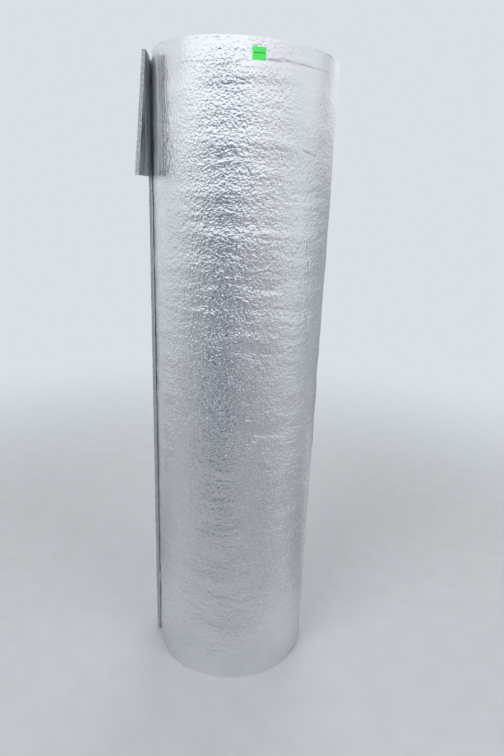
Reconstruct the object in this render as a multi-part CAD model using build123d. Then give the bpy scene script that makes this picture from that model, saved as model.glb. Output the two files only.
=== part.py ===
from build123d import *
from math import atan, cos, degrees, radians, sin, sqrt
import os

# A roll of foil-faced bubble insulation, standing on its end. +Z runs up the bore, the origin
# is the bore's centre at the lower end, and -Y is the side that the photograph shows.

# The sheet
sheet_width = 1524.0  # 60 in, the roll's height as it stands
sheet_thickness = 7.94  # 5/16 in, two layers of bubbles between two foils
winding_gap = 0.4  # air between one turn and the next

# The winding
bore_diameter = 76.2  # 3 in
full_turns = 20  # turns under the last, loose one
lap_angle = 190.0  # where the sheet ends, seen from above and counted from +X

# The V between one turn's edge and the next, as both ends show it
notch_width = 3.0
notch_depth = 4.0

# The loose end, which has sprung off the turn beneath
loose_angle = 50.0  # how far back along the winding it stands off
loose_lift = 2.5  # how far off it stands at the cut

# The upper end, which slants down from the lap to the far side. The last half turn goes on
# level from there to the cut.
rim_drop = 14.0

# The tongue left at the top of the loose end, where a piece was cut out below it
tongue_height = 241.0
tongue_length = 80.0
tongue_flare_top = 5.6  # how far each corner of its tip bends away from the roll
tongue_flare_bottom = 25.2

# The paper sticker near the upper rim
sticker_width = 26.5
sticker_height = 22.5
sticker_thickness = 0.3
sticker_drop = 23.8  # from the roll's full height down to its upper edge
sticker_angle = 278.5  # its middle, counted as lap_angle is

pitch = sheet_thickness + winding_gap
bore_radius = bore_diameter / 2
outer_radius = bore_radius + (full_turns + 1) * pitch
low_rim = sheet_width - rim_drop
rim_slope = rim_drop / (2 * outer_radius - 3 * pitch / 2)
notched_halves = range(2, 2 * full_turns + 1)


def toward(angle):
    """The level unit vector at an angle from +X."""
    return Vector(cos(radians(angle)), sin(radians(angle)))


def half_turn_centre(number):
    """Half turns swing about two centres in turn, a quarter pitch either side of the axis."""
    side = 1 if number % 2 == 0 else -1
    return toward(lap_angle) * (side * pitch / 4)


def half_turn_radius(number):
    """Radius of one half turn of the sheet's outer face, numbered inwards from the cut."""
    return outer_radius - pitch / 4 - number * pitch / 2


def half_turn(number, offset=0.0, skipped=0.0):
    """One half turn of the spiral, run clockwise from above, with its first degrees skipped."""
    begin = lap_angle + 180 * (number % 2) - skipped
    radius = half_turn_radius(number) + offset
    return CenterArc(half_turn_centre(number), radius, begin, skipped - 180)


def winding_outline():
    """The roll's cross-section: two half turns, the step at the lap and the loose end."""
    centre = half_turn_centre(0)
    radius = half_turn_radius(0)
    leaves = toward(lap_angle - loose_angle)
    loose_radius = radius + loose_lift / (1 - cos(radians(loose_angle)))
    loose_centre = centre + leaves * (radius - loose_radius)
    swing = loose_angle * radius / loose_radius
    begin = lap_angle - loose_angle
    outer_face = CenterArc(loose_centre, loose_radius, begin, swing)
    inner_face = CenterArc(loose_centre, loose_radius - sheet_thickness, begin, swing)
    first = half_turn(0, skipped=loose_angle)
    second = half_turn(1)
    beneath = CenterArc(centre, half_turn_radius(2), lap_angle, -loose_angle)
    root = Line(beneath @ 1, inner_face @ 0)
    cut = Line(inner_face @ 1, outer_face @ 1)
    face = make_face([outer_face, cut, inner_face, root, beneath, second, first])
    return face, inner_face @ 1, begin + swing


def tongue_section(corner, angle, share):
    """One upright section of the tongue, at a share of its length from the cut."""
    along = toward(angle + 90)
    plane = Plane(corner + along * (share * tongue_length), x_dir=toward(angle), z_dir=-along)
    edges = []
    for flare, height in (
        (tongue_flare_bottom, low_rim - tongue_height),
        (tongue_flare_top, low_rim),
    ):
        slope = 2 * flare * share / tongue_length
        inner = flare * share**2
        edges.append((inner, inner + sheet_thickness * sqrt(1 + slope**2), height))
    (low_in, low_out, low), (high_in, high_out, high) = edges
    corners = [(low_in, low), (low_out, low), (high_out, high), (high_in, high)]
    return plane * make_face(Polyline(*corners, close=True))


def make_tongue(corner, angle):
    """The strip that curls outwards from the cut, more at its lower corner than at its upper."""
    shares = (0, 1 / 3, 2 / 3, 1)
    return loft([tongue_section(corner, angle, share) for share in shares])


def slanted(solid):
    """A solid that stands on or hangs from the XY plane, moved to the roll's slanted upper end."""
    hinge = Axis((0, 0, 0), toward(lap_angle - 90))
    height = sheet_width - rim_slope * (outer_radius - pitch)
    return Pos(0, 0, height) * solid.rotate(hinge, degrees(atan(rim_slope)))


def make_rim_cutter():
    """All that stands above the upper end: over the slant, and over the level last half turn."""
    lap = toward(lap_angle)
    far = -lap * (outer_radius - pitch / 2)
    near = -lap * (outer_radius - 3 * pitch / 2)
    beneath = make_face([half_turn(1), half_turn(2), Line(near, far)])
    reach = 4 * outer_radius
    block = extrude(Rectangle(reach, reach), 3 * rim_drop)
    outside = Rectangle(reach, reach) - beneath
    return slanted(block) + Pos(0, 0, low_rim) * extrude(outside, 3 * rim_drop)


def make_turn_notch():
    """The spiral V that parts the turns on an end, as a solid that hangs from the XY plane."""
    skips = {2: loose_angle}
    line = Wire([half_turn(number, skipped=skips.get(number, 0)) for number in notched_halves])
    mouth = notch_width / 2
    section = make_face(Polyline((-mouth, 0), (mouth, 0), (0, -notch_depth), close=True))
    start = Plane(line @ 0, x_dir=Vector(0, 0, 1).cross(line % 0), z_dir=line % 0)
    return sweep(start * section, line)


def make_roll():
    """The whole sheet, wound up, as one solid with its bore."""
    outline, corner, angle = winding_outline()
    roll = extrude(outline - Circle(bore_radius), sheet_width)
    roll = roll + make_tongue(corner, angle) - make_rim_cutter()
    notch = make_turn_notch()
    return roll - mirror(notch, about=Plane.XY) - slanted(notch)


def make_sticker():
    """A paper label that lies on the foil and follows its curve."""
    centre, radius = half_turn_centre(1), half_turn_radius(1)
    spread = degrees(sticker_width / radius)
    begin = sticker_angle - spread / 2
    back = CenterArc(centre, radius, begin, spread)
    front = CenterArc(centre, radius + sticker_thickness, begin, spread)
    face = make_face([back, Line(back @ 1, front @ 1), front, Line(back @ 0, front @ 0)])
    return Pos(0, 0, sheet_width - sticker_drop - sticker_height) * extrude(face, sticker_height)


os.makedirs("parts", exist_ok=True)
for name, make in (("insulation_roll", make_roll), ("paper_sticker", make_sticker)):
    export_step(make(), f"parts/{name}.step")
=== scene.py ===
import math

import bpy
import numpy as np
from bpy.props import FloatProperty, FloatVectorProperty, IntProperty, PointerProperty
from mathutils import Matrix, Vector


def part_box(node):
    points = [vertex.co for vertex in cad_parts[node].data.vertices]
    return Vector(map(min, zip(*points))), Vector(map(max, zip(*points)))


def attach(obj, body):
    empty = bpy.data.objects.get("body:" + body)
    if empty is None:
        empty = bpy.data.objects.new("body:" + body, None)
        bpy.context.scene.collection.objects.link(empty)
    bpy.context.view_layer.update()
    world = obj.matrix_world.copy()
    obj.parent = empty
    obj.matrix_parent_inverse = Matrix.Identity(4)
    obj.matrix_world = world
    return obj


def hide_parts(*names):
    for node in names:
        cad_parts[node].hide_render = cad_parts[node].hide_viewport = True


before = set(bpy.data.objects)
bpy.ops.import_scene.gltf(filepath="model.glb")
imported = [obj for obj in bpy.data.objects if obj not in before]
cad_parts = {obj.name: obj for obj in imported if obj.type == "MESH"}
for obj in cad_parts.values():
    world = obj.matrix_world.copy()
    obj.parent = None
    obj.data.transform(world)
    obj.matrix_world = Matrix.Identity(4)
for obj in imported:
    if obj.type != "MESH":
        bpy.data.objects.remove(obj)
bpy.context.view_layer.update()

bl_info = {
    "name": "Bubble Insulation Roll",
    "version": (1, 0, 0),
    "blender": (4, 5, 0),
    "location": "View3D > Sidebar > Insulation Roll",
    "description": "Builds a standing roll of foil-faced bubble insulation round its CAD solids",
    "category": "Add Mesh",
}

ROLL_NODE, STICKER_NODE = "insulation_roll", "paper_sticker"
ROLL_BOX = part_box(ROLL_NODE)
MM = 0.001

# The grids
STATION_STEP = 3.2 * MM  # along the winding
ROW_STEP = 2.35 * MM  # up the outer face
BORE_COLUMNS, BORE_ROWS = 96, 250
TONGUE_COLUMNS = 44
STICKER_COLUMNS, STICKER_ROWS = 27, 24
SLOT_COLUMNS = 19
FLOOR_RINGS, FLOOR_SPOKES = 24, 96
RANDOM_SIDE = 256  # of the random tables, in cells, after which a pattern repeats
WRAP_BANDS = ("lower", "middle", "upper")

SLOT_TURN = 3.5  # degrees that the open slot reaches in under the loose end
BORE_FOOT = 2.5 * MM  # of the bore's wall above the floor
BORE_SHORT = 5.5 * MM  # what that wall is short of the roll's height there
STICKER_CLEAR = 0.12 * MM  # between the paper and the foil's plain face

# A cut edge: how the foils close in over the cut bubbles
LIP_INSET = 0.4 * MM
LIP_REACH = 2.6 * MM
SEAM_DEPTH = 5.0 * MM

# The creases pressed into the outer foil: the bearing from -Y towards +X, in degrees, and the
# height of both ends, the breadth, and the share of the full depth
CREASE_DEPTH = 0.9 * MM
CREASE_HEIGHT = 1.4795  # of the long level one below the upper rim
CREASES = (
    ((13, CREASE_HEIGHT), (76, CREASE_HEIGHT), 1.2 * MM, 1.0),
    ((37.9, 1.326), (53.8, 1.3135), 1.3 * MM, 1.0),
    ((-61, 1.378), (-37, 1.367), 1.6 * MM, 0.5),
)

# Painted light (a lighter, less metallic patch) on the turn beneath the loose end: how far back from
# the cut it reaches below the tongue, and where it starts to fade and ends behind the tongue
SLOT_PAINTED_LIGHT = 14 * MM
TONGUE_PAINTED_LIGHT = (52 * MM, 130 * MM)


def length_prop(name, description, default):
    return FloatProperty(name=name, description=description, default=default, unit="LENGTH")


def angle_prop(name, description, degrees):
    angle = math.radians(degrees)
    return FloatProperty(name=name, description=description, default=angle, unit="ROTATION")


def colour_prop(name, description, default):
    options = {"description": description, "default": default, "size": 3, "subtype": "COLOR"}
    return FloatVectorProperty(name=name, **options)


class RollSizes(bpy.types.PropertyGroup):
    sheet_width: length_prop(
        "Sheet width", "Height of the roll as it stands", ROLL_BOX[1].z - ROLL_BOX[0].z
    )
    sheet_thickness: length_prop("Sheet thickness", "Two layers of bubbles between two foils", 7.94 * MM)
    winding_gap: length_prop("Winding gap", "Air between one turn and the next", 0.4 * MM)
    bore_diameter: length_prop("Bore diameter", "Open hole that the sheet is wound around", 76.2 * MM)
    full_turns: IntProperty(name="Full turns", description="Turns under the last, loose one", default=20)
    lap_angle: angle_prop("Lap angle", "Where the sheet ends, seen from above and counted from +X", 190)
    loose_angle: angle_prop("Loose angle", "How far back along the winding the loose end stands off", 50)
    loose_lift: length_prop("Loose lift", "How far the loose end stands off at its cut", 2.5 * MM)
    rim_drop: length_prop(
        "Rim drop", "How far the upper end slants down from the lap to the far side", 14.0 * MM
    )
    tongue_height: length_prop(
        "Tongue height", "Height of the strip left at the top of the loose end", 241.0 * MM
    )
    tongue_length: length_prop("Tongue length", "How far that strip stands out past the cut", 80.0 * MM)
    tongue_flare_top: length_prop(
        "Tongue flare, top", "How far the tip's upper corner bends away from the roll", 5.6 * MM
    )
    tongue_flare_bottom: length_prop(
        "Tongue flare, bottom", "How far the tip's lower corner bends away from the roll", 25.2 * MM
    )


class FoilFinish(bpy.types.PropertyGroup):
    foil_colour: colour_prop("Foil", "Colour of the metallised film", (0.84, 0.85, 0.87))
    film_colour: colour_prop(
        "Bubble film", "Colour of the clear film that shows where the sheet is cut", (0.36, 0.4, 0.41)
    )
    roughness: FloatProperty(
        name="Roughness", description="Mean roughness of the foil", default=0.17, subtype="FACTOR"
    )
    bubble_pitch: length_prop("Bubble pitch", "From one bubble to the next", 11.0 * MM)
    bubble_height: length_prop("Bubble relief", "How far the bubbles push the foil out", 0.15 * MM)
    wrinkle_height: length_prop("Wrinkle relief", "Height of the foil's folds", 0.43 * MM)


class StickerSizes(bpy.types.PropertyGroup):
    width: length_prop("Width", "Width round the roll", 26.5 * MM)
    height: length_prop("Height", "Height up the roll", 22.5 * MM)
    thickness: length_prop("Thickness", "Paper thickness", 0.3 * MM)
    drop: length_prop("Drop", "From the roll's full height down to the upper edge", 23.8 * MM)
    angle: angle_prop("Angle", "Where its middle is, counted as the lap angle is", 278.5)
    paper_colour: colour_prop("Paper", "Fluorescent paper", (0.08, 0.8, 0.12))
    rule_colour: colour_prop("Rule", "Plain rule across the paper", (0.01, 0.2, 0.02))


class StageSettings(bpy.types.PropertyGroup):
    backdrop_colour: colour_prop("Backdrop", "Pale background", (0.7, 0.75, 0.79))
    floor_colour: colour_prop("Floor", "Pale floor", (0.5, 0.52, 0.54))
    floor_radius: length_prop("Floor radius", "The floor fades into the backdrop at this distance", 3.2)


# The winding


def toward(angle):
    """The level unit vector at an angle in degrees from +X, as an array of pairs."""
    turn = np.radians(angle)
    return np.stack([np.cos(turn), np.sin(turn)], axis=-1)


class Winding:
    """The sheet's outer face, as half turns that swing about two centres in turn."""

    def __init__(self, sizes):
        self.width = sizes.sheet_width
        self.thickness = sizes.sheet_thickness
        self.pitch = sizes.sheet_thickness + sizes.winding_gap
        self.bore_radius = sizes.bore_diameter / 2
        self.outer_radius = self.bore_radius + (sizes.full_turns + 1) * self.pitch
        self.last = 360.0 * (sizes.full_turns + 1)
        self.lap = math.degrees(sizes.lap_angle)
        self.loose = math.degrees(sizes.loose_angle)
        self.first_radius = self.outer_radius - self.pitch / 4
        self.loose_radius = self.first_radius + sizes.loose_lift / (1 - math.cos(sizes.loose_angle))
        leaves = toward(self.lap - self.loose)
        centre = toward(self.lap) * self.pitch / 4
        self.loose_centre = centre + leaves * (self.first_radius - self.loose_radius)
        self.cut_angle = self.lap - self.loose + self.loose * self.first_radius / self.loose_radius
        self.corner = self.loose_centre + (self.loose_radius - self.thickness) * toward(self.cut_angle)
        self.low_rim = self.width - sizes.rim_drop
        self.rim_slope = sizes.rim_drop / (2 * self.outer_radius - 1.5 * self.pitch)
        self.tongue_low = self.low_rim - sizes.tongue_height
        self.tongue_length = sizes.tongue_length
        self.flares = (sizes.tongue_flare_bottom, sizes.tongue_flare_top)

    def face(self, turn, inset=0.0):
        """Point at an inset from the outer face: its half turn's centre, plus the half turn's radius
        less the inset along the radius at the lap angle less the turn. The first degrees swing about
        the loose end's own centre."""
        half = np.floor(turn / 180)
        side = np.where(half % 2 == 0, 0.25, -0.25) * self.pitch
        centre = side[..., None] * toward(self.lap)
        radius = self.first_radius - half * self.pitch / 2
        swung = self.lap - self.loose + (self.loose - turn) * self.first_radius / self.loose_radius
        loose = turn < self.loose
        angle = np.where(loose, swung, self.lap - turn)
        centre = np.where(loose[..., None], self.loose_centre, centre)
        radius = np.where(loose, self.loose_radius, radius)
        return centre + (radius - inset)[..., None] * toward(angle)

    def face_radius(self, turn):
        """The half turn's radius at one turn."""
        return self.first_radius - (turn // 180) * self.pitch / 2

    def length(self, turn):
        """Length along the outer face from the cut: each half turn adds its own radius times pi."""
        halves = np.arange(0, self.last / 180 + 1)
        radii = self.first_radius - halves[:-1] * self.pitch / 2
        total = np.concatenate([[0], np.cumsum(radii * np.pi)])
        return np.interp(turn, halves * 180, total)

    def stations(self, until):
        """Turns in degrees at even steps of length from the cut, up to one angle."""
        turn = np.linspace(0, self.last, int(self.last * 4) + 1)
        length = self.length(turn)
        count = int(np.ceil(np.interp(until, turn, length) / STATION_STEP))
        return np.interp(np.arange(count + 1) * STATION_STEP, length, turn)

    def rim(self, turn):
        """Height of each turn's upper rim, with a slow wander: on a plane that falls from the lap
        to the far side, and level with its lowest place along the last half turn."""
        along = self.length(turn)
        wander = 0.9 * line_noise(along, 0.55, 61) + 0.3 * line_noise(along, 0.045, 62)
        slant = self.rim_slope * (self.face(turn) @ toward(self.lap) - self.outer_radius + self.pitch)
        return np.where(turn < 180, self.low_rim, self.width + slant) - set_in(turn, wander, 0.5, 0.9)

    def base(self, turn):
        """Height of each turn's lower rim, a slow wander above the floor."""
        return set_in(turn, line_noise(self.length(turn), 0.6, 63), 0.25, 0.5)


def set_in(turn, wander, least, more):
    """How far in from the sheet's plain edge a rim lies: the wander, counted from its lowest, times
    an amount in mm that grows where the last turn meets the one beneath."""
    deep = np.clip((turn - 300) / 120, 0, 1)
    return MM * (least + more * deep) * (1 + np.clip(wander, -1, 1))


# Patterns in the flat sheet. A cell is a length along the sheet and a height, and a seed picks
# the random table.


def smooth_noise(across, up, cell, seed):
    """Value noise from -1 to 1: random values at the corners of cells, joined by the curve
    6f^5 - 15f^4 + 10f^3 of the place in the cell."""
    values = np.random.default_rng(seed).uniform(-1, 1, (RANDOM_SIDE, RANDOM_SIDE))
    u, v = np.broadcast_arrays(across / cell[0], up / cell[1])
    column, row = np.floor(u).astype(int), np.floor(v).astype(int)
    u, v = (f * f * f * (f * (6 * f - 15) + 10) for f in (u - column, v - row))
    rows = [row % RANDOM_SIDE, (row + 1) % RANDOM_SIDE]
    left, right = column % RANDOM_SIDE, (column + 1) % RANDOM_SIDE
    low, high = (values[r, left] * (1 - u) + values[r, right] * u for r in rows)
    return low * (1 - v) + high * v


def line_noise(along, cell, seed):
    return smooth_noise(along, along * 0, (cell, 1), seed)


def cell_distance(across, up, cell, jitter, seed):
    """Distance in cells to the nearest of scattered points, one a cell, whose rows are staggered
    by half a cell."""
    shift = np.random.default_rng(seed).uniform(-0.5, 0.5, (RANDOM_SIDE, RANDOM_SIDE, 2)) * jitter
    u, v = np.broadcast_arrays(across / cell[0], up / cell[1])
    column, row = np.floor(u).astype(int), np.floor(v).astype(int)
    nearest = np.inf
    for j in (-1, 0, 1):
        for i in (-2, -1, 0, 1):
            moved = shift[(row + j) % RANDOM_SIDE, (column + i) % RANDOM_SIDE]
            apart_u = column + i + 0.5 + 0.5 * ((row + j) % 2) + moved[..., 0] - u
            apart_v = row + j + 0.5 + moved[..., 1] - v
            nearest = np.minimum(nearest, apart_u**2 + apart_v**2)
    return np.sqrt(nearest)


def ramp(low, high, value):
    """Smooth step from 0 at low to 1 at high."""
    share = np.clip((value - low) / (high - low), 0, 1)
    return share * share * (3 - 2 * share)


def bubbles(along, up, finish, seed=11):
    """Domes over the bubbles: one less the squared distance from the nearest bubble's middle."""
    pitch = finish.bubble_pitch
    near = cell_distance(along, up, (pitch, pitch * 0.87), 0.35, seed)
    return 1 - np.clip(near / 0.62, 0, 1) ** 2


def fold(along, up, cell, seed):
    """Folds with sharp feet: the size of smooth noise, which is creased where the noise is 0."""
    return abs(smooth_noise(along, up, cell, seed))


def outer_relief(along, up, width, finish):
    """How far the outer foil stands out of the plain winding: bubble domes, long folds that lie
    along the sheet, shorter ones in all directions, upright ones, crumpled cells and slow waves.
    Folds and cells, bent by slower noise, grow calm towards the upper rim, level folds most."""
    bend = 4.0 * MM * smooth_noise(along, up, (0.04, 0.03), 21)
    sway = 7.0 * MM * smooth_noise(along, up, (0.05, 0.022), 22)
    lying = 0.5 + 0.5 * ramp(0.06, 0.3, width - up)
    restless = 1 + 0.35 * smooth_noise(along, up, (0.14, 0.08), 23)
    restless = restless * (0.34 + 0.66 * ramp(0.05, 0.25, width - up))
    broad = fold(along + sway, up + 2 * bend, (0.088, 0.019), 36)
    long = fold(along + sway, up + bend, (0.052, 0.0086), 31)
    middle = fold(along + sway, up + bend, (0.014, 0.0076), 32)
    short = fold(along - sway, up - bend, (0.008, 0.0082), 33)
    upright = fold(along + bend, up, (0.0082, 0.023), 35)
    near = cell_distance(along + sway, up - bend, (0.0098, 0.0092), 1.0, 34)
    folds = lying * (1.7 * broad + 0.6 * long) + 0.5 * middle + 0.7 * short
    folds = folds + 0.8 * upright - 0.6 * near
    drift = 0.4 * smooth_noise(along, up, (0.15, 0.09), 24)
    drift = drift + 0.7 * smooth_noise(along + sway, up + bend, (0.12, 0.031), 25)
    height = finish.wrinkle_height * restless * (folds - 1.1)
    return height + finish.bubble_height * (bubbles(along, up, finish) - 0.5) + MM * drift


def crease(along, up, start, end, breadth):
    """A valley along a line between two points: a bell curve of the distance from it, which fades
    along the last two thirds of the line."""
    run, rise = end[0] - start[0], end[1] - start[1]
    reach = math.hypot(run, rise)
    share = ((along - start[0]) * run + (up - start[1]) * rise) / reach**2
    wander = 0.8 * MM * line_noise(along, 0.02, 41)
    apart = ((along - start[0]) * rise - (up - start[1]) * run) / reach + wander
    ends = ramp(-0.04, 0.02, share) * (1 - ramp(0.3, 0.95, share))
    return ends * np.exp(-((apart / breadth) ** 2))


# Meshes


def numbered(shape):
    """The vertex numbers of a grid, row by row."""
    return np.arange(math.prod(shape)).reshape(shape)


def quads(index):
    """Four corners of each cell of a grid of vertex numbers."""
    sides = index[:-1, :-1], index[:-1, 1:], index[1:, 1:], index[1:, :-1]
    return np.stack(sides, axis=-1).reshape(-1, 4)


def grid_normals(points):
    """Unit normals of a grid from the cross product of its two central differences."""
    normal = np.cross(np.gradient(points, axis=1), np.gradient(points, axis=0))
    return normal / (np.linalg.norm(normal, axis=-1, keepdims=True) + 1e-12)


def add_object(name, data):
    """A new object in the scene."""
    made = bpy.data.objects.new(name, data)
    bpy.context.scene.collection.objects.link(made)
    return made


def add_mesh(name, points, faces, values=None, normals=None):
    """A smooth mesh object from whole arrays, with one number a vertex for each name in values."""
    mesh = bpy.data.meshes.new(name)
    mesh.vertices.add(points.size // 3)
    mesh.vertices.foreach_set("co", np.ascontiguousarray(points, np.float32).ravel())
    mesh.loops.add(faces.size)
    mesh.loops.foreach_set("vertex_index", faces.ravel().astype(np.int32))
    mesh.polygons.add(len(faces))
    mesh.polygons.foreach_set("loop_start", np.arange(0, faces.size, 4, dtype=np.int32))
    mesh.update(calc_edges=True)
    mesh.validate()
    mesh.shade_smooth()
    for key, numbers in (values or {}).items():
        attribute = mesh.attributes.new(key, "FLOAT", "POINT")
        attribute.data.foreach_set("value", np.ascontiguousarray(numbers, np.float32).ravel())
    if normals is not None:
        mesh.normals_split_custom_set_from_vertices(normals.reshape(-1, 3))
    return add_object(name, mesh)


def add_grid(name, points, turned=False, closed=False, values=None, normals=None):
    """One grid surface as a mesh, its faces turned over or its last row joined to its first where
    asked."""
    index = numbered(points.shape[:2])
    faces = quads(np.concatenate([index, index[:1]]) if closed else index)
    return add_mesh(name, points, faces[:, ::-1] if turned else faces, values, normals)


def dress(piece, material, node):
    """Gives a piece its material and slot, hides the CAD node's own solid, and lets it ride on the one
    body.
    """
    piece.data.materials.append(material)
    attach(piece, "root")
    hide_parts(node)


# Shader maths


class Link:
    """A socket of a node tree, on which an expression adds Math nodes."""

    def __init__(self, tree, socket):
        self.tree = tree
        self.socket = socket

    def maths(self, operation, first, second):
        return self.tree.node("ShaderNodeMath", {"operation": operation}, {0: first, 1: second})

    def __add__(self, other):
        return self.maths("ADD", self, other)

    def __abs__(self):
        return self.maths("ABSOLUTE", self, 0.0)

    def __sub__(self, other):
        return self.maths("SUBTRACT", self, other)

    def __rsub__(self, other):
        return self.maths("SUBTRACT", other, self)

    def __mul__(self, other):
        return self.maths("MULTIPLY", self, other)

    __radd__ = __add__
    __rmul__ = __mul__


class Tree:
    """The nodes of one material or world."""

    def __init__(self, owner):
        owner.use_nodes = True
        self.nodes = owner.node_tree.nodes
        self.links = owner.node_tree.links
        self.nodes.clear()

    def node(self, kind, settings=None, sockets=None, output=0):
        """A node with its settings, then the values or links of its sockets. Gives one output."""
        made = self.nodes.new(kind)
        for key, setting in (settings or {}).items():
            setattr(made, key, setting)
        for key, value in (sockets or {}).items():
            if isinstance(value, Link):
                self.links.new(value.socket, made.inputs[key])
            else:
                made.inputs[key].default_value = value
        return Link(self, made.outputs[output]) if made.outputs else None

    def smooth(self, value, low, high, start=0.0, end=1.0):
        """A value's smooth step from low to high, as a number from start to end."""
        sockets = {"Value": value, "From Min": low, "From Max": high, "To Min": start, "To Max": end}
        return self.node("ShaderNodeMapRange", {"interpolation_type": "SMOOTHSTEP"}, sockets)

    def mix(self, share, first, second):
        """A colour from first to second, by the Mix node's numbers for its colour sockets."""
        first, second = (c if isinstance(c, Link) else (*c, 1.0) for c in (first, second))
        sockets = {"Factor": share, 6: first, 7: second}
        return self.node("ShaderNodeMix", {"data_type": "RGBA"}, sockets, 2)

    def vector(self, operation, first, second=(0.0, 0.0, 0.0), output="Vector"):
        sockets = {0: first, 1: second}
        return self.node("ShaderNodeVectorMath", {"operation": operation}, sockets, output)

    def part(self, vector, axis):
        return self.node("ShaderNodeSeparateXYZ", {}, {0: vector}, axis)

    def ray(self, kind):
        """1 for one kind of ray."""
        return self.node("ShaderNodeLightPath", output=kind)

    def place(self):
        """Object coordinates."""
        return self.node("ShaderNodeTexCoord", output="Object")

    def stretched(self, scale):
        """Object coordinates with each axis scaled."""
        return self.node("ShaderNodeMapping", {}, {"Vector": self.place(), "Scale": scale})

    def noise(self, scale, detail=2.0, stretch=(1, 1, 1)):
        sockets = {"Vector": self.stretched(stretch), "Scale": scale, "Detail": detail}
        return self.node("ShaderNodeTexNoise", {}, sockets)

    def cells(self, scale, stretch=(1, 1, 1)):
        sockets = {"Vector": self.stretched(stretch), "Scale": scale}
        return self.node("ShaderNodeTexVoronoi", {}, sockets)

    def bump(self, height, strength, distance):
        sockets = {"Height": height, "Strength": strength, "Distance": distance}
        return self.node("ShaderNodeBump", {}, sockets)

    def finish(self, sockets):
        """Ends a material in one Principled shader."""
        shader = self.node("ShaderNodeBsdfPrincipled", {}, sockets)
        self.node("ShaderNodeOutputMaterial", {}, {"Surface": shader})


def shade(colour, share):
    """A colour darkened to a share of itself."""
    return tuple(share * c for c in colour)


def foil_material(finish):
    """Metallised film: mirror-like, with creases finer than the mesh as bump, which grow calm
    towards the upper rim. It is plain clear film where the attribute film is 1. Where inside is 1
    it has painted dark reflection, greyer and darker with streaks; where crease is 1, painted shade
    in the creases. Where the attribute for roughness and painted light is 1 it is rougher, with
    upright wrinkles, and has painted light: a streaky lighter bluish colour and less metal."""
    found = bpy.data.materials.get("foil")
    if found:
        return found
    material = bpy.data.materials.new("foil")
    tree = Tree(material)
    film, inside, rough_and_painted_light, crease_shade = (
        tree.node("ShaderNodeAttribute", {"attribute_name": name}, {}, "Fac")
        for name in ("film", "inside", "rough_and_painted_light", "crease")
    )
    creases = tree.cells(150, (1, 1, 1.05))
    crinkle = tree.cells(290)
    ridges = abs(tree.noise(125, 2.0, (1, 1, 1.3)) - 0.5)
    upright = abs(tree.noise(140, 2.0, (1, 1, 0.35)) - 0.5)
    streaks = tree.noise(85, 3.0, (1, 1, 0.08))
    patches = tree.noise(9, 3.0)
    cloud = tree.noise(38, 2.0, (1, 1, 1.8))
    calm = tree.smooth(tree.part(tree.place(), "Z"), 1.31, 1.49, 1.0, 0.42)
    relief = (creases + crinkle * 0.65 - ridges * 1.7 - upright * 3.2) * calm - upright * rough_and_painted_light * 6
    foil = finish.foil_colour
    colour = tree.mix(tree.smooth(patches, 0.42, 0.66), foil, shade(foil, 0.95))
    # Painted dark reflection: where inside is 1 the foil turns greyer and darker, with streaks, for the
    # dark surroundings it mirrors
    painted_dark_reflection = tree.mix(tree.smooth(streaks, 0.38, 0.62), (0.1, 0.11, 0.1), (0.42, 0.44, 0.42))
    # Painted light: a lighter bluish colour where the attribute for roughness and painted light is 1
    colour = tree.mix(rough_and_painted_light * 0.7, colour, (0.68, 0.74, 0.83))
    colour = tree.mix(inside, colour, painted_dark_reflection)
    # Painted shade: darker along the creases
    colour = tree.mix(crease_shade * 0.6, colour, shade(foil, 0.25))
    # Painted light: less metal there, so the lighter colour is lit as a streaky pale sheen
    painted_light_share = rough_and_painted_light * tree.smooth(streaks, 0.38, 0.62, 0.4, 0.86)
    shine = finish.roughness - 0.04 + tree.smooth(cloud, 0.35, 0.7) * 0.08
    sockets = {
        "Base Color": tree.mix(film, colour, finish.film_colour),
        "Metallic": 1 - film - painted_light_share,
        "Roughness": shine + film * 0.12 + rough_and_painted_light * 0.3 + inside * 0.42,
        "Normal": tree.bump(relief, 0.75, 0.9 * MM),
    }
    tree.finish(sockets)
    return material


def sticker_material(sizes):
    """Coated fluorescent paper with a plain rule a little below its middle."""
    material = bpy.data.materials.new("sticker_paper")
    tree = Tree(material)
    place = tree.node("ShaderNodeUVMap", {"uv_map": "paper"})
    beside = abs(tree.part(place, "X") - 0.5)
    above = abs(tree.part(place, "Y") - 0.55)
    rule = (1 - tree.smooth(above, 0.03, 0.05)) * (1 - tree.smooth(beside, 0.4, 0.42))
    fibre = tree.noise(900, 3.0)
    paper = sizes.paper_colour
    paper = tree.mix(tree.smooth(fibre, 0.3, 0.7), paper, shade(paper, 0.9))
    sockets = {
        "Base Color": tree.mix(rule * 0.85, paper, sizes.rule_colour),
        "Roughness": 0.42 + fibre * 0.12,
        "Normal": tree.bump(fibre, 0.15, 0.1 * MM),
    }
    tree.finish(sockets)
    return material


def dress_foil(piece, finish):
    """Gives a piece of the roll its foil."""
    dress(piece, foil_material(finish), ROLL_NODE)


# The pieces

# Points across a cut edge, from one gap to the next: insets from the outer face, shares of the
# cut bubbles' depth, and shares of clear film
EDGE_INSETS = MM * np.array(
    [-0.2, 0.02, 0.15, 0.4, 1.3, 2.5, 3.55, 3.97, 4.4, 5.45, 6.64, 7.54, 7.8, 7.92, 8.14]
)
EDGE_DEPTHS = np.array([0, 0, 0, 0, 0.6, 1, 0.6, 0.3, 0.7, 1, 0.6, 0, 0, 0, 0])
EDGE_FILM = np.array([0, 0, 0, 0, 0.7, 1, 1, 0.6, 1, 1, 0.7, 0, 0, 0, 0])

# Which of those points are which: the ends lie in the gaps, and between the lips are two layers
# of bubbles with film between them
OUTER_LIP, INNER_LIP = 3, 11
LIPS = slice(OUTER_LIP, INNER_LIP + 1)
OUTER_END, INNER_END = slice(0, 3), slice(12, 15)
OUTER_LAYER, BETWEEN, INNER_LAYER = slice(4, 7), 7, slice(8, 11)

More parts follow.
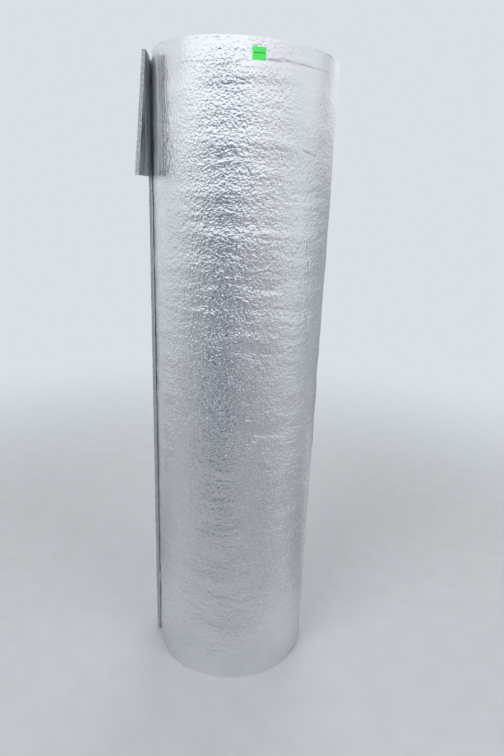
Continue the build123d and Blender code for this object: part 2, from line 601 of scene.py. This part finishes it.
SEAM_SHARES = (1.0, 0.6, 0.14)  # of the seam's depth, from either end of the profile inwards
CAVITY_DEPTH = 2.2 * MM
COVERED_INSET = 1.7 * MM  # of the outer end, where the outer foil covers it
INMOST_SHORT = 12  # degrees of the winding's thin inner end that the ends leave off


def lip_wave(along):
    """Small sideways wander of a cut foil edge."""
    return 0.3 * MM * line_noise(along, 0.021, 71)


def edge_drops(along, finish, opened):
    """Drop of each profile point along a cut edge: the lips stay up, and between them each layer
    of bubbles sinks by the domes that the cut meets. Nothing sinks where opened is 0."""
    row = along * 0 + 0.4 * finish.bubble_pitch
    domes = (bubbles(along, row, finish, seed) for seed in (81, 82))
    first, second = (CAVITY_DEPTH * (0.25 + 0.75 * dome) * opened for dome in domes)
    depths = np.zeros((len(along), len(EDGE_DEPTHS)))
    depths[:, OUTER_LAYER] = first[:, None]
    depths[:, BETWEEN] = np.minimum(first, second)
    depths[:, INNER_LAYER] = second[:, None]
    return depths * EDGE_DEPTHS


def rows_up(winding):
    """Heights of the outer face's rows as shares of the cut's own height: even rows, closer at
    both rims and round the long crease, with one row at the tongue's lower edge."""
    near = np.array([0, 0.6, 1.4, 2.5, 4.0, 6.0]) * MM
    fine = CREASE_HEIGHT + np.arange(-5, 5.1, 0.9) * MM
    count = int((winding.width - 2 * near[-1]) / ROW_STEP)
    even = np.linspace(near[-1], winding.width - near[-1], count)
    even = even[(even < fine[0] - ROW_STEP / 2) | (even > fine[-1] + ROW_STEP / 2)]
    rows = np.concatenate([near[:-1], even, fine, winding.width - near[:-1]])
    shares = np.sort(rows) / winding.width
    low, high = cut_reach(winding)
    corner = (winding.tongue_low - low) / (high - low)
    shares[np.argmin(abs(shares - corner))] = corner
    return shares


def cut_reach(winding):
    """Lowest and highest point of the cut."""
    start = np.zeros(1)
    return winding.base(start)[0], winding.rim(start)[0]


def cut_rows(winding):
    """Heights of the outer face's rows at the cut."""
    low, high = cut_reach(winding)
    return low + rows_up(winding) * (high - low)


def sheet_grid(winding, turn):
    """For some turns of the sheet: length from the cut, heights of the rows, and distance from the
    nearest of both rims and the cut, which ends at the tongue's lower corner."""
    along = winding.length(turn)
    low, high = winding.base(turn), winding.rim(turn)
    up = low + rows_up(winding) * (high - low)
    cut = np.hypot(along, np.maximum(up - winding.tongue_low, 0))
    return along, up, np.minimum(np.minimum(up - low, high - up), cut)


def curled(relief, edge, wave=0.0):
    """Relief that fades towards an edge, where the foil curls in to its lip."""
    near = np.clip(1 - edge / LIP_REACH, 0, 1)
    return relief * (1 - near**2) - (LIP_INSET + wave) * near**2


def with_heights(level, height):
    """Points from level places and heights."""
    return np.concatenate([level, np.broadcast_to(height, level.shape[:-1])[..., None]], axis=-1)


def pressed_lines(winding, along, up):
    """The creases pressed into the outer foil, as depths from 0 to 1."""

    def spot(bearing, height):
        return winding.length(np.array(winding.lap + 90.0 - bearing)), height

    lines = 0.0
    for start, end, breadth, share in CREASES:
        lines = lines + share * crease(along, up, spot(*start), spot(*end), breadth)
    return lines


def outer_push(winding, along, up, edge, scene, lines=0.0):
    """How far the outer foil stands out, with its crease lines, its lips and the flat place under
    the paper sticker."""
    push = outer_relief(along, up, winding.width, scene.foil_finish) - CREASE_DEPTH * lines
    paper = scene.sticker_sizes
    middle = winding.length(np.array(winding.lap - math.degrees(paper.angle) + 360.0))
    beside = abs(along - middle) - paper.width / 2
    above = abs(up - winding.width + paper.drop + paper.height / 2) - paper.height / 2
    free = ramp(-1.0 * MM, 5.0 * MM, np.maximum(beside, above))
    return curled(push * free, edge, lip_wave(np.maximum(along, 0)))


def painted_light_behind(winding, along, up):
    """Painted light on the turn beneath the loose end, from 1 to 0 with the distance back from the cut.
    It reaches further behind the tongue, where nothing else brightens the tongue's mirror image."""
    before = winding.length(np.array(360.0)) - along
    behind = ramp(winding.tongue_low - 28 * MM, winding.tongue_low + 22 * MM, up)
    start = TONGUE_PAINTED_LIGHT[0] * behind
    end = SLOT_PAINTED_LIGHT + (TONGUE_PAINTED_LIGHT[1] - SLOT_PAINTED_LIGHT) * behind
    return 1 - ramp(start, end, before)


class RollOperator:
    """What the operators share."""

    bl_options = {"REGISTER", "UNDO"}


class ROLL_OT_outer_face(RollOperator, bpy.types.Operator):
    """Adds the crumpled outer foil, from the cut once round and in under the loose end"""

    bl_idname = "roll.outer_face"
    bl_label = "Outer Foil"

    def execute(self, context):
        scene = context.scene
        winding = Winding(scene.roll_sizes)
        turn = winding.stations(360 + SLOT_TURN)[:, None]
        along, up, edge = sheet_grid(winding, turn)
        lines = pressed_lines(winding, along, up)
        level = winding.face(turn, -outer_push(winding, along, up, edge, scene, lines))
        points = with_heights(level, up)
        normals = grid_normals(points)
        # Painted light on the turn beneath the loose end, which brightens the tongue's mirror image
        rough_and_painted_light = painted_light_behind(winding, along, up)
        cuts = np.linspace(0, points.shape[1] - 1, len(WRAP_BANDS) + 1).astype(int)
        for name, first, last in zip(WRAP_BANDS, cuts[:-1], cuts[1:]):
            band = slice(first, last + 1)
            # The crease attribute also paints shade along the creases
            values = {"crease": lines[:, band], "rough_and_painted_light": rough_and_painted_light[:, band]}
            piece = add_grid(f"foil_wrap_{name}", points[:, band], False, False, values, normals[:, band])
            dress_foil(piece, scene.foil_finish)
        return {"FINISHED"}


class ROLL_OT_ends(RollOperator, bpy.types.Operator):
    """Adds both ends, where the turns show their cut edges"""

    bl_idname = "roll.ends"
    bl_label = "Ends"

    def execute(self, context):
        scene = context.scene
        winding = Winding(scene.roll_sizes)
        turn = winding.stations(winding.last - INMOST_SHORT)
        for name, above in (("turns_top", True), ("turns_bottom", False)):
            points = self.end_points(winding, turn, scene.foil_finish, above)
            film = np.broadcast_to(EDGE_FILM, points.shape[:2])
            piece = add_grid(name, points, turned=not above, values={"film": film})
            dress_foil(piece, scene.foil_finish)
        return {"FINISHED"}

    def end_points(self, winding, turn, finish, above):
        """The edge profile carried along the whole winding: insets from the outer face, and drops
        from each turn's own rim. Both ends of the profile sink to the lower of the two rims that
        meet there, less the seam's depth, and deeper beside the loose end. Where the outer foil
        or the slot's wall covers an end of the profile, it stays inside the sheet. On the inmost
        turn the profile narrows to nothing and its inner end follows the bore."""
        edge_height = winding.rim if above else (lambda t: winding.width - winding.base(t))
        along = winding.length(turn)
        rim = edge_height(turn)
        drops = edge_drops(along, finish, ramp(0, LIP_REACH, along))
        insets = np.tile(EDGE_INSETS, (len(turn), 1))
        insets[:, 1:-1] += lip_wave(along)[:, None]

        def seam(own, other):
            loose = np.clip(1 - own / winding.loose, 0, 1)
            return np.minimum(rim_of(own), rim_of(other)) - SEAM_DEPTH - 25 * MM * np.sqrt(loose)

        def rim_of(where):
            return edge_height(np.clip(where, 0, winding.last))

        outer_floor, inner_floor = seam(turn - 360, turn), seam(turn, turn + 360)
        for point, share in enumerate(SEAM_SHARES):
            drops[:, point] = share * (rim - outer_floor)
            drops[:, -1 - point] = share * (rim - inner_floor)
        covered = turn < 360 + SLOT_TURN - 0.5
        insets[covered, OUTER_END] = COVERED_INSET
        drops[covered, OUTER_END] = np.array([2.0, 1.5, 1.0]) * MM
        slot = turn < SLOT_TURN
        insets[slot, INNER_END] = EDGE_INSETS[INNER_LIP] - 0.3 * MM
        drops[slot, INNER_END] = np.array([1.0, 2.0, 3.0]) * MM
        inmost = np.clip((winding.last - turn) / 360, 0, 1)
        insets *= inmost[:, None]
        drops[:, OUTER_LIP + 1 : INNER_LIP] *= inmost[:, None]
        level = winding.face(turn[:, None], insets)
        beneath = winding.face(np.minimum(turn + 360, winding.last), -0.2 * MM)
        tail = turn + 360 > winding.last
        joined = ~(slot | tail)
        level[joined, -1] = beneath[joined]
        drops[tail, INNER_END] = np.array([0.6, 1.5, 3.5]) * MM * inmost[tail, None]
        to_bore = (winding.bore_radius + 0.3 * MM) / np.linalg.norm(level[tail, -1], axis=-1)
        level[tail, -1] *= to_bore[:, None]
        height = rim[:, None] - drops
        return with_heights(level, height if above else winding.width - height)


class ROLL_OT_bore(RollOperator, bpy.types.Operator):
    """Adds the bore's wall, whose foil wrinkles upright because it is wound tight"""

    bl_idname = "roll.bore"
    bl_label = "Bore"

    def execute(self, context):
        scene = context.scene
        winding = Winding(scene.roll_sizes)
        angle = np.linspace(0, 360, BORE_COLUMNS, endpoint=False)
        share = np.linspace(0, 1, BORE_ROWS)
        slant = winding.rim_slope * (winding.bore_radius * toward(angle) @ toward(winding.lap))
        top = winding.width - winding.rim_slope * (winding.outer_radius - winding.pitch) + slant
        up = BORE_FOOT + share * (top[:, None] - BORE_SHORT)
        across = np.radians(angle)[:, None] * winding.bore_radius
        # Into the sheet go upright folds, by the square of the nearness to scattered points, slow
        # waves, and a step where the sheet's inner end lies on the next turn
        near = cell_distance(across, up, (across[-1, 0] / 36, 0.031), 0.9, 91)
        wave = smooth_noise(across, up, (0.03, 0.12), 92)
        past = (angle - winding.lap) % 360
        step = 1.6 * ramp(0, 6, past) * (1 - ramp(20, 110, past))
        depth = MM * (0.9 * (1 - near) ** 2 + 0.3 * (1 + wave) + step[:, None])
        level = (winding.bore_radius + np.maximum(depth, 0))[..., None] * toward(angle)[:, None]
        piece = add_grid("bore_wall", with_heights(level, up), closed=True)
        dress_foil(piece, scene.foil_finish)
        return {"FINISHED"}


def inner_relief(along, up):
    """How far the inner foil stands out towards the roll: upright folds, because the inside of
    the bend is pressed together, and slow waves."""
    sway = 4.0 * MM * smooth_noise(along, up, (0.02, 0.04), 51)
    near = cell_distance(along + sway, up, (0.016, 0.052), 1.0, 52)
    fine = cell_distance(along, up + sway, (0.0075, 0.019), 1.0, 53)
    waves = 0.4 * smooth_noise(along, up, (0.05, 0.09), 54)
    return MM * (1.5 * (0.45 - near) + 0.6 * (0.45 - fine) + waves)


class ROLL_OT_loose_edge(RollOperator, bpy.types.Operator):
    """Adds the cut edge below the tongue, and the inside of the open slot behind it"""

    bl_idname = "roll.loose_edge"
    bl_label = "Loose Edge"

    def execute(self, context):
        scene = context.scene
        winding = Winding(scene.roll_sizes)
        self.add_slot(winding, scene.foil_finish)
        self.add_cut(winding, scene.foil_finish)
        return {"FINISHED"}

    def add_slot(self, winding, finish):
        """The loose end's inner face as far in as the slot is open, then straight across to the
        turn beneath."""
        turn = np.linspace(0, SLOT_TURN, SLOT_COLUMNS)[:, None]
        along, up, edge = sheet_grid(winding, turn)
        push = curled(inner_relief(along, up), edge)
        level = winding.face(turn, winding.thickness + push)
        beneath = winding.face(turn[-1:] + 360, np.full((1, 1), 1.0 * MM))
        level = np.concatenate([level, np.broadcast_to(beneath, level[-1:].shape)])
        points = with_heights(level, np.concatenate([up, up[-1:]]))
        # Roughness and painted light all over the slot wall
        piece = add_grid("slot_wall", points, turned=True, values={"rough_and_painted_light": np.ones(points.shape[:2])})
        dress_foil(piece, finish)

    def add_cut(self, winding, finish):
        """The edge profile carried up the cut, its drops running into the sheet. Its outer lip
        lies where the outer foil ends."""
        up = cut_rows(winding)
        up = up[up < winding.tongue_low + 0.1 * MM]
        opened = ramp(0, LIP_REACH, np.minimum(up - up[0], up[-1] - up))
        drops = edge_drops(up, finish, opened)[:, LIPS]
        insets = EDGE_INSETS[LIPS] + np.zeros_like(drops)
        insets[:, 1:-1] += lip_wave(up)[:, None]
        insets[:, 0] += lip_wave(np.zeros(1))
        turn = np.degrees(drops / winding.loose_radius)
        level = winding.face(turn, insets)
        film = np.broadcast_to(EDGE_FILM[LIPS], drops.shape)
        piece = add_grid("cut_edge", with_heights(level, up[:, None]), values={"film": film})
        dress_foil(piece, finish)


class ROLL_OT_tongue(RollOperator, bpy.types.Operator):
    """Adds the tongue that springs off at the top of the loose end"""

    bl_idname = "roll.tongue"
    bl_label = "Tongue"

    def execute(self, context):
        scene = context.scene
        winding = Winding(scene.roll_sizes)
        share = np.linspace(0, 1, TONGUE_COLUMNS)[:, None]
        rows = cut_rows(winding)
        rows = rows[rows > winding.tongue_low - 0.1 * MM]
        climb = (rows - rows[0]) / (rows[-1] - rows[0])
        along = -share * winding.tongue_length
        top = rows[-1] + 0.7 * MM * share * line_noise(along, 0.025, 73)
        up = rows[0] + climb * (top - rows[0])
        level, tilt = self.inner_face(winding, share, climb)
        edge = np.minimum(np.minimum(up - rows[0], top - up), winding.tongue_length + along)
        push = outer_push(winding, along, up, edge, scene)
        aside = toward(winding.cut_angle)
        inner = with_heights(level - curled(inner_relief(along, up), edge)[..., None] * aside, up)
        outside = winding.thickness * np.sqrt(1 + tilt**2) + push
        outer = with_heights(level + outside[..., None] * aside, up)
        strip, strip_film = self.edge_strip(inner, outer, scene.foil_finish)
        points = np.concatenate([grid.reshape(-1, 3) for grid in (inner, outer, strip)])
        index, strip_index = numbered(inner.shape[:2]), numbered(strip.shape[:2])
        count = index.size
        faces = [quads(index), quads(index + count)[:, ::-1], quads(strip_index + 2 * count)]
        film, inside, rough_and_painted_light = np.zeros((3, len(points)))
        film[2 * count :] = strip_film.ravel()
        # Inner face: painted dark reflection that grows towards the tip, and some roughness and painted
        # light
        inside[:count] = 0.2 + 0.8 * np.repeat(share, rows.size)
        rough_and_painted_light[:count] = 0.4
        values = {"film": film, "inside": inside, "rough_and_painted_light": rough_and_painted_light}
        piece = add_mesh("loose_tongue", points, np.concatenate(faces), values)
        dress_foil(piece, scene.foil_finish)
        return {"FINISHED"}

    def inner_face(self, winding, share, climb):
        """Inner face: from the cut's inner corner along the tangent by a share of the length, and
        outwards by the flare at that height times the share squared. Also its slope."""
        low, high = winding.flares
        flare = low + (high - low) * climb
        along = toward(winding.cut_angle + 90)
        aside = toward(winding.cut_angle)
        level = winding.corner + (share * winding.tongue_length)[..., None] * along
        level = level + (flare * share**2)[..., None] * aside
        return level, 2 * flare * share / winding.tongue_length

    def edge_strip(self, inner, outer, finish):
        """The edge profile carried round the tongue's three free edges, from the outer lip to the
        inner one, sinking into the tongue. Also its share of film."""

        def rim(grid):
            return np.concatenate([grid[:-1, 0], grid[-1], grid[-2::-1, -1]])

        outer_lip, inner_lip = rim(outer), rim(inner)
        steps = np.linalg.norm(np.diff(outer_lip, axis=0), axis=1)
        path = np.concatenate([[0], np.cumsum(steps)])
        columns, rows = outer.shape[:2]
        corners = path[[0, columns - 1, columns + rows - 2, -1]]
        opened = ramp(0, LIP_REACH, np.min(abs(path[:, None] - corners), axis=1))
        drops = edge_drops(path, finish, opened)[:, LIPS]
        insets = EDGE_INSETS[LIPS]
        across = (insets - insets[0]) / (insets[-1] - insets[0])
        inward = np.zeros_like(outer_lip)
        inward[:columns, 2] = 1
        inward[-columns:, 2] = -1
        back = outer[-2] - outer[-1]
        back /= np.linalg.norm(back, axis=-1, keepdims=True)
        inward[columns - 1 : columns + rows - 1] += back
        inward /= np.linalg.norm(inward, axis=-1, keepdims=True)
        points = outer_lip[:, None] + (inner_lip - outer_lip)[:, None] * across[:, None]
        points = points + drops[..., None] * inward[:, None]
        return points, np.broadcast_to(EDGE_FILM[LIPS], drops.shape)


class ROLL_OT_sticker(RollOperator, bpy.types.Operator):
    """Adds the paper sticker near the upper rim"""

    bl_idname = "roll.sticker"
    bl_label = "Paper Sticker"

    def execute(self, context):
        scene = context.scene
        winding = Winding(scene.roll_sizes)
        sizes = scene.sticker_sizes
        middle = winding.lap - math.degrees(sizes.angle) + 360.0
        spread = math.degrees(sizes.width / winding.face_radius(middle))
        across = np.linspace(0, 1, STICKER_COLUMNS)[:, None]
        climb = np.linspace(0, 1, STICKER_ROWS)
        turn = middle + spread * (0.5 - across)
        up = winding.width - sizes.drop - sizes.height * (1 - climb) + 0 * across
        along = winding.length(turn)
        swell = 0.22 * MM * smooth_noise(along, up, (0.011, 0.008), 95)
        # Both faces follow the outer foil's own curve, and the paper swells away from its border
        beside = np.minimum(across, 1 - across) * (STICKER_COLUMNS - 1)
        above = np.minimum(climb, 1 - climb) * (STICKER_ROWS - 1)
        swell = swell * np.clip(np.minimum(beside, above) / 3, 0.3, 1)
        lifted = sizes.thickness + STICKER_CLEAR + swell
        insets = (-lifted, sizes.thickness - lifted)
        points = np.stack([with_heights(winding.face(turn + 0 * up, inset), up) for inset in insets])
        index = numbered(up.shape)
        ring = np.concatenate([index[:-1, 0], index[-1, :-1], index[:0:-1, -1], index[0, :0:-1]])
        following = np.roll(ring, -1)
        sides = np.stack([ring, ring + index.size, following + index.size, following], axis=-1)
        faces = np.concatenate([quads(index)[:, ::-1], quads(index) + index.size, sides])
        piece = add_mesh("sticker_paper", points, faces)
        place = np.stack(np.broadcast_arrays(across, climb), axis=-1).reshape(-1, 2)
        layer = piece.data.uv_layers.new(name="paper")
        layer.data.foreach_set("uv", np.tile(place, (2, 1))[faces.ravel()].astype(np.float32).ravel())
        dress(piece, sticker_material(sizes), STICKER_NODE)
        return {"FINISHED"}


# The stage

CAMERA_PLACE = (0.04091, -1.38328, 1.22085)
CAMERA_PITCH, CAMERA_ROLL = 17.572, -2.081
CAMERA_LENS = 26.37

LAMP_SIZE = 2.4
LAMP_TARGET = (0, 0, 0.8)
LAMPS = (  # name, place and power
    ("key_lamp", (-1.9, -2.4, 3.4), 70),
    ("fill_lamp", (2.3, -1.8, 2.6), 36),
    ("back_lamp", (0.4, 2.8, 3.2), 44),
)

# Zones of the studio that the foil mirrors, in degrees: the bearing from -Y towards +X, and how
# far to each side a zone ends and is full
FRONT_ZONE = (-12, 80, 46)
DARK_ZONE = (-22, 29, 13)
BRIGHT_ZONE = (-34, 76, 30)
DIM_ZONE = (118, 15, 4)
BACK_ZONE = (172, 50, 16)


def add_camera():
    """The photograph's viewpoint: looking along +Y, tipped down by the pitch, then turned about
    the line of sight by the roll."""
    camera = add_object("camera", bpy.data.cameras.new("camera"))
    camera.data.lens = CAMERA_LENS
    tipped = Matrix.Rotation(math.radians(90 - CAMERA_PITCH), 4, "X")
    rolled = Matrix.Rotation(math.radians(-CAMERA_ROLL), 4, "Z")
    camera.matrix_world = Matrix.Translation(CAMERA_PLACE) @ tipped @ rolled
    bpy.context.scene.camera = camera


def add_lamp(name, place, power):
    """A large soft lamp. The foil mirrors the plain studio around it and not the lamp's outline."""
    lamp = add_object(name, bpy.data.lights.new(name, "AREA"))
    lamp.data.shape = "DISK"
    lamp.data.size = LAMP_SIZE
    lamp.data.energy = power
    lamp.location = place
    lamp.rotation_euler = (Vector(LAMP_TARGET) - Vector(place)).to_track_quat("-Z", "Y").to_euler()
    lamp.visible_glossy = False


def zone(tree, level, angles):
    """1 where a zone is full and 0 past its end, by the cosine between a level direction and the
    zone's bearing."""
    bearing, end, full = (math.radians(angle) for angle in angles)
    facing = tree.vector("DOT_PRODUCT", level, (math.sin(bearing), -math.cos(bearing), 0.0), "Value")
    return tree.smooth(facing, math.cos(end), math.cos(full))


def light_world(settings):
    """A plain pale studio: even light, a pale backdrop to the camera, and for the foil to mirror
    a patchy ground, pale side walls with one dim strip, and at the front and the back a bright
    upper half over a dimmer lower one. The front is darkest and, higher up, brightest in a zone
    to the left."""
    world = bpy.data.worlds.new("studio")
    bpy.context.scene.world = world
    tree = Tree(world)
    look = tree.node("ShaderNodeTexCoord")
    level = tree.vector("NORMALIZE", tree.vector("MULTIPLY", look, (1.0, 1.0, 0.0)))
    height = tree.part(look, "Z")
    above = tree.smooth(height, -0.02, 0.2)
    side_wall = tree.mix(tree.smooth(height, -0.3, 0.75), (0.67, 0.71, 0.75), (0.93, 0.96, 1.0))
    dim = zone(tree, level, DIM_ZONE) * tree.smooth(height, -0.06, 0.12, 1.0, 0.3)
    side_wall = tree.mix(dim, side_wall, (0.22, 0.25, 0.29))
    lower = tree.mix(tree.smooth(height, -0.3, -0.02), (0.32, 0.34, 0.37), (0.5, 0.52, 0.55))
    lower = tree.mix(zone(tree, level, DARK_ZONE), lower, (0.035, 0.06, 0.13))
    upper = tree.mix(zone(tree, level, BRIGHT_ZONE), (0.95, 0.98, 1.02), (1.13, 1.17, 1.22))
    front_wall = tree.mix(above, lower, upper)
    back_wall = tree.mix(above, (0.4, 0.42, 0.45), (0.95, 0.96, 0.98))
    walls = tree.mix(zone(tree, level, FRONT_ZONE), side_wall, front_wall)
    walls = tree.mix(zone(tree, level, BACK_ZONE), walls, back_wall)
    patches = tree.node("ShaderNodeTexNoise", {}, {"Vector": look, "Scale": 4.5, "Detail": 1.0})
    ground = tree.mix(tree.smooth(patches, 0.4, 0.6), (0.25, 0.27, 0.3), (0.6, 0.62, 0.64))
    mirrored = tree.mix(tree.smooth(height, -0.42, -0.12), ground, walls)
    colour = tree.mix(tree.ray("Is Glossy Ray"), (0.56, 0.57, 0.58), mirrored)
    colour = tree.mix(tree.ray("Is Camera Ray"), colour, settings.backdrop_colour)
    light = tree.node("ShaderNodeBackground", {}, {"Color": colour, "Strength": 1.0})
    tree.node("ShaderNodeOutputWorld", {}, {"Surface": light})


def add_floor(settings):
    """A plain floor disc that fades out into the backdrop, and sooner in the foil's mirror."""
    material = bpy.data.materials.new("floor")
    tree = Tree(material)
    away = tree.vector("LENGTH", tree.place(), output="Value")
    shown = 1 - tree.smooth(away, 0.3 * settings.floor_radius, 0.95 * settings.floor_radius)
    shown = shown * (1 - tree.ray("Is Glossy Ray") * tree.smooth(away, 0.3, 0.6))
    speckle = tree.smooth(tree.noise(14, 4.0), 0.3, 0.7)
    colour = tree.mix(speckle, settings.floor_colour, shade(settings.floor_colour, 0.96))
    tree.finish({"Base Color": colour, "Roughness": 0.85, "Alpha": shown})
    radius = np.linspace(0, 1, FLOOR_RINGS)[:, None] ** 1.5 * settings.floor_radius
    angle = np.linspace(0, 360, FLOOR_SPOKES, endpoint=False)
    points = with_heights(radius * toward(angle)[:, None], np.zeros(1))
    floor = add_grid("floor", points, closed=True)
    floor.data.materials.append(material)


class ROLL_OT_stage(RollOperator, bpy.types.Operator):
    """Adds the floor, the light and the camera"""

    bl_idname = "roll.stage"
    bl_label = "Stage"

    def execute(self, context):
        settings = context.scene.stage_settings
        context.scene.view_settings.view_transform = "Standard"
        add_floor(settings)
        light_world(settings)
        for lamp in LAMPS:
            add_lamp(*lamp)
        add_camera()
        return {"FINISHED"}


class ROLL_PT_panel(bpy.types.Panel):
    """Lists the roll's pieces and sizes"""

    bl_idname = "ROLL_PT_panel"
    bl_label = "Insulation Roll"
    bl_space_type = "VIEW_3D"
    bl_region_type = "UI"
    bl_category = "Insulation Roll"

    def draw(self, context):
        layout = self.layout
        for operator in OPERATORS:
            layout.operator(operator.bl_idname)
        for key, _ in GROUPS:
            settings = getattr(context.scene, key)
            box = layout.box()
            for name in settings.__annotations__:
                box.prop(settings, name)


GROUPS = (
    ("roll_sizes", RollSizes),
    ("foil_finish", FoilFinish),
    ("sticker_sizes", StickerSizes),
    ("stage_settings", StageSettings),
)
OPERATORS = (
    ROLL_OT_outer_face,
    ROLL_OT_ends,
    ROLL_OT_bore,
    ROLL_OT_loose_edge,
    ROLL_OT_tongue,
    ROLL_OT_sticker,
    ROLL_OT_stage,
)


def register():
    for key, group in GROUPS:
        bpy.utils.register_class(group)
        setattr(bpy.types.Scene, key, PointerProperty(type=group))
    for made in (*OPERATORS, ROLL_PT_panel):
        bpy.utils.register_class(made)


def unregister():
    for made in (ROLL_PT_panel, *reversed(OPERATORS)):
        bpy.utils.unregister_class(made)
    for key, group in reversed(GROUPS):
        delattr(bpy.types.Scene, key)
        bpy.utils.unregister_class(group)


def main():
    """Builds every piece."""
    register()
    bpy.ops.roll.outer_face()
    bpy.ops.roll.ends()
    bpy.ops.roll.bore()
    bpy.ops.roll.loose_edge()
    bpy.ops.roll.tongue()
    bpy.ops.roll.sticker()
    bpy.ops.roll.stage()


if __name__ == "__main__":
    main()
